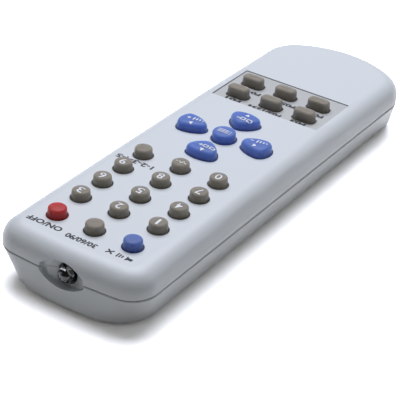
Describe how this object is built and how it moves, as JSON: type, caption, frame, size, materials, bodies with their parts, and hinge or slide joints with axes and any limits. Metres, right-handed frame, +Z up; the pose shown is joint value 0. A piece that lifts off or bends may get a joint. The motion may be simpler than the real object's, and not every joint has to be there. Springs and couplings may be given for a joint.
{
  "type": "remote control",
  "caption": "Hand held television remote control: two part case, rubber keys that press, silver key panel, infrared diode and sliding battery cover.",
  "frame": {"origin": "middle of the outline on the resting surface", "axes": "+Z up out of the keys, +Y toward the infrared end, +X toward the power key"},
  "size_m": [0.0512, 0.17, 0.0226],
  "materials": {
    "case_white": "fine satin, cool white",
    "panel_silver": "satin silver plate",
    "key_grey": "matte silicone, warm grey",
    "key_red": "matte silicone, red",
    "key_blue": "matte silicone, blue",
    "board_laminate": "solder resist, green",
    "led_clear": "clear epoxy",
    "tinned_wire": "tinned",
    "chip_black": "moulded epoxy, black",
    "resonator_body": "dipped coating, ochre",
    "capacitor_sleeve": "shrink sleeve, dark blue",
    "contact_nickel": "nickel plated",
    "cell_jacket": "printed jacket, plain dark grey",
    "screw_steel": "zinc plated"
  },
  "bodies": {
    "case": {"top_cover": "case_white", "bottom_case": "case_white", "function_panel": "panel_silver", "keypad_mat": "key_grey", "circuit_board": "board_laminate", "infrared_led": "led_clear", "led_leads": "tinned_wire", "control_chip": "chip_black", "ceramic_resonator": "resonator_body", "reservoir_capacitor": "capacitor_sleeve", "driver_transistor": "chip_black", "chip_resistors": "chip_black", "contact_positive": "contact_nickel", "contact_negative": "contact_nickel", "contact_bridge": "contact_nickel", "battery_left": "cell_jacket", "battery_right": "cell_jacket", "case_screw": "screw_steel", "board_screws": "screw_steel"},
    "battery_door": {"battery_cover": "case_white"},
    "power_button": {"key_power": "key_red"},
    "sleep_button": {"key_sleep": "key_grey"},
    "mute_button": {"key_mute": "key_blue"},
    "number_1_button": {"key_1": "key_grey"},
    "number_2_button": {"key_2": "key_grey"},
    "number_3_button": {"key_3": "key_grey"},
    "number_4_button": {"key_4": "key_grey"},
    "number_5_button": {"key_5": "key_grey"},
    "number_6_button": {"key_6": "key_grey"},
    "number_7_button": {"key_7": "key_grey"},
    "number_8_button": {"key_8": "key_grey"},
    "number_9_button": {"key_9": "key_grey"},
    "number_0_button": {"key_0": "key_grey"},
    "dash_button": {"key_dash": "key_grey"},
    "input_button": {"key_input": "key_grey"},
    "menu_button": {"key_menu": "key_blue"},
    "channel_up_button": {"key_channel_up": "key_blue"},
    "channel_down_button": {"key_channel_down": "key_blue"},
    "volume_up_button": {"key_volume_up": "key_blue"},
    "volume_down_button": {"key_volume_down": "key_blue"},
    "function_1_button": {"key_function_1": "key_grey"},
    "function_2_button": {"key_function_2": "key_grey"},
    "function_3_button": {"key_function_3": "key_grey"},
    "function_4_button": {"key_function_4": "key_grey"},
    "function_5_button": {"key_function_5": "key_grey"},
    "function_6_button": {"key_function_6": "key_grey"}
  },
  "joints": [
    {"name": "battery_door_slide", "type": "slide", "parent": "case", "child": "battery_door", "axis": [0, -1, 0], "range_m": [0, 0.008]},
    {"name": "power_press", "type": "slide", "parent": "case", "child": "power_button", "axis": [0, 0, -1], "range_m": [0, 0.0008], "stiffness_N_per_m": 1500},
    {"name": "sleep_press", "type": "slide", "parent": "case", "child": "sleep_button", "axis": [0, 0, -1], "range_m": [0, 0.0008], "stiffness_N_per_m": 1500},
    {"name": "mute_press", "type": "slide", "parent": "case", "child": "mute_button", "axis": [0, 0, -1], "range_m": [0, 0.0008], "stiffness_N_per_m": 1500},
    {"name": "number_1_press", "type": "slide", "parent": "case", "child": "number_1_button", "axis": [0, 0, -1], "range_m": [0, 0.0008], "stiffness_N_per_m": 1500},
    {"name": "number_2_press", "type": "slide", "parent": "case", "child": "number_2_button", "axis": [0, 0, -1], "range_m": [0, 0.0008], "stiffness_N_per_m": 1500},
    {"name": "number_3_press", "type": "slide", "parent": "case", "child": "number_3_button", "axis": [0, 0, -1], "range_m": [0, 0.0008], "stiffness_N_per_m": 1500},
    {"name": "number_4_press", "type": "slide", "parent": "case", "child": "number_4_button", "axis": [0, 0, -1], "range_m": [0, 0.0008], "stiffness_N_per_m": 1500},
    {"name": "number_5_press", "type": "slide", "parent": "case", "child": "number_5_button", "axis": [0, 0, -1], "range_m": [0, 0.0008], "stiffness_N_per_m": 1500},
    {"name": "number_6_press", "type": "slide", "parent": "case", "child": "number_6_button", "axis": [0, 0, -1], "range_m": [0, 0.0008], "stiffness_N_per_m": 1500},
    {"name": "number_7_press", "type": "slide", "parent": "case", "child": "number_7_button", "axis": [0, 0, -1], "range_m": [0, 0.0008], "stiffness_N_per_m": 1500},
    {"name": "number_8_press", "type": "slide", "parent": "case", "child": "number_8_button", "axis": [0, 0, -1], "range_m": [0, 0.0008], "stiffness_N_per_m": 1500},
    {"name": "number_9_press", "type": "slide", "parent": "case", "child": "number_9_button", "axis": [0, 0, -1], "range_m": [0, 0.0008], "stiffness_N_per_m": 1500},
    {"name": "number_0_press", "type": "slide", "parent": "case", "child": "number_0_button", "axis": [0, 0, -1], "range_m": [0, 0.0008], "stiffness_N_per_m": 1500},
    {"name": "dash_press", "type": "slide", "parent": "case", "child": "dash_button", "axis": [0, 0, -1], "range_m": [0, 0.0008], "stiffness_N_per_m": 1500},
    {"name": "input_press", "type": "slide", "parent": "case", "child": "input_button", "axis": [0, 0, -1], "range_m": [0, 0.0008], "stiffness_N_per_m": 1500},
    {"name": "menu_press", "type": "slide", "parent": "case", "child": "menu_button", "axis": [0, 0, -1], "range_m": [0, 0.0008], "stiffness_N_per_m": 1500},
    {"name": "channel_up_press", "type": "slide", "parent": "case", "child": "channel_up_button", "axis": [0, 0, -1], "range_m": [0, 0.0008], "stiffness_N_per_m": 1500},
    {"name": "channel_down_press", "type": "slide", "parent": "case", "child": "channel_down_button", "axis": [0, 0, -1], "range_m": [0, 0.0008], "stiffness_N_per_m": 1500},
    {"name": "volume_up_press", "type": "slide", "parent": "case", "child": "volume_up_button", "axis": [0, 0, -1], "range_m": [0, 0.0008], "stiffness_N_per_m": 1500},
    {"name": "volume_down_press", "type": "slide", "parent": "case", "child": "volume_down_button", "axis": [0, 0, -1], "range_m": [0, 0.0008], "stiffness_N_per_m": 1500},
    {"name": "function_1_press", "type": "slide", "parent": "case", "child": "function_1_button", "axis": [0, 0, -1], "range_m": [0, 0.0008], "stiffness_N_per_m": 1500},
    {"name": "function_2_press", "type": "slide", "parent": "case", "child": "function_2_button", "axis": [0, 0, -1], "range_m": [0, 0.0008], "stiffness_N_per_m": 1500},
    {"name": "function_3_press", "type": "slide", "parent": "case", "child": "function_3_button", "axis": [0, 0, -1], "range_m": [0, 0.0008], "stiffness_N_per_m": 1500},
    {"name": "function_4_press", "type": "slide", "parent": "case", "child": "function_4_button", "axis": [0, 0, -1], "range_m": [0, 0.0008], "stiffness_N_per_m": 1500},
    {"name": "function_5_press", "type": "slide", "parent": "case", "child": "function_5_button", "axis": [0, 0, -1], "range_m": [0, 0.0008], "stiffness_N_per_m": 1500},
    {"name": "function_6_press", "type": "slide", "parent": "case", "child": "function_6_button", "axis": [0, 0, -1], "range_m": [0, 0.0008], "stiffness_N_per_m": 1500}
  ]
}
